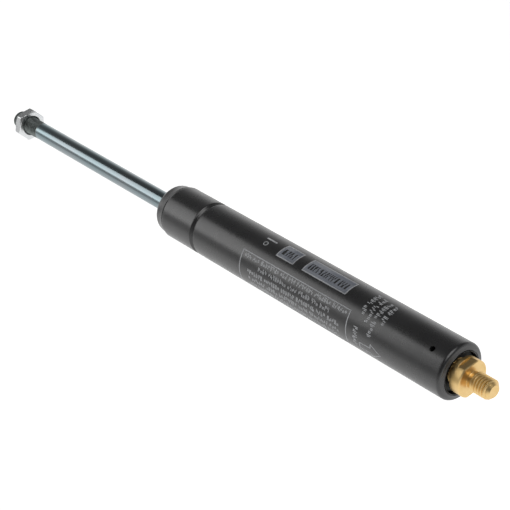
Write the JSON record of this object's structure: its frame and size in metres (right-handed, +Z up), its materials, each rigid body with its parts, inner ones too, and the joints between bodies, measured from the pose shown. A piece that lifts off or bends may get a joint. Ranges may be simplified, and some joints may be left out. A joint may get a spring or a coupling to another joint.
{
  "type": "gas strut stay",
  "caption": "Gas strut stay: a black pressure tube, a polished rod that slides and turns with a threaded end and jam nut, and a brass bleed-valve stud.",
  "frame": {"origin": "centre of the brass stud's end face, on the strut's axis", "axes": "+X along the strut and out of the brass stud, so the rod points to -X; +Z up as the strut lies; the vent hole faces -Y and up"},
  "size_m": [0.3, 0.023, 0.023],
  "materials": {
    "black_paint": "satin black stoved paint",
    "rod_steel": "ground and polished",
    "brass": "machined",
    "zinc": "bright zinc plate",
    "dark_steel": "oiled steel",
    "black_rubber": "matt",
    "bronze": "sintered bronze",
    "ptfe": "natural plastic",
    "aluminium": "turned"
  },
  "bodies": {
    "tube": {"pressure_tube": "black_paint", "rod_guide": "aluminium", "guide_bush": "bronze", "guide_o_ring": "black_rubber", "rod_seal": "black_rubber", "seal_spreader": "ptfe", "seal_washer": "dark_steel", "wiper_ring": "black_rubber", "valve_housing": "dark_steel", "housing_o_ring_outer": "black_rubber", "housing_o_ring_inner": "black_rubber", "valve_seat": "ptfe"},
    "piston_carriage": {"piston_ring": "ptfe"},
    "rod": {"piston_rod": "rod_steel", "rebound_stop": "black_rubber", "piston": "aluminium", "piston_washer": "dark_steel", "piston_nut": "dark_steel"},
    "jam_nut": {"jam_nut": "zinc"},
    "valve_ball": {"valve_ball": "rod_steel"},
    "valve_stem": {"valve_stem": "brass", "stem_o_ring": "black_rubber"}
  },
  "joints": [
    {"name": "rod_slide", "type": "slide", "parent": "tube", "child": "piston_carriage", "axis": [1, 0, 0], "range_m": [0, 0.095], "stiffness_N_per_m": 480, "springref_m": -0.3},
    {"name": "rod_spin", "type": "hinge", "parent": "piston_carriage", "child": "rod", "pos_m": [-0.1485, 0, 0], "axis": [1, 0, 0], "continuous": true},
    {"name": "jam_nut_turn", "type": "hinge", "parent": "rod", "child": "jam_nut", "pos_m": [-0.2912, 0, 0], "axis": [1, 0, 0], "continuous": true},
    {"name": "valve_lift", "type": "slide", "parent": "tube", "child": "valve_ball", "axis": [1, 0, 0], "range_m": [0, 0.001]},
    {"name": "valve_turn", "type": "hinge", "parent": "valve_ball", "child": "valve_stem", "pos_m": [-0.013, 0, 0], "axis": [1, 0, 0], "range_deg": [0, 360]}
  ],
  "couplings": [
    {"joint": "valve_turn", "follows": "valve_lift", "rad_per_m": 6283.2}
  ]
}
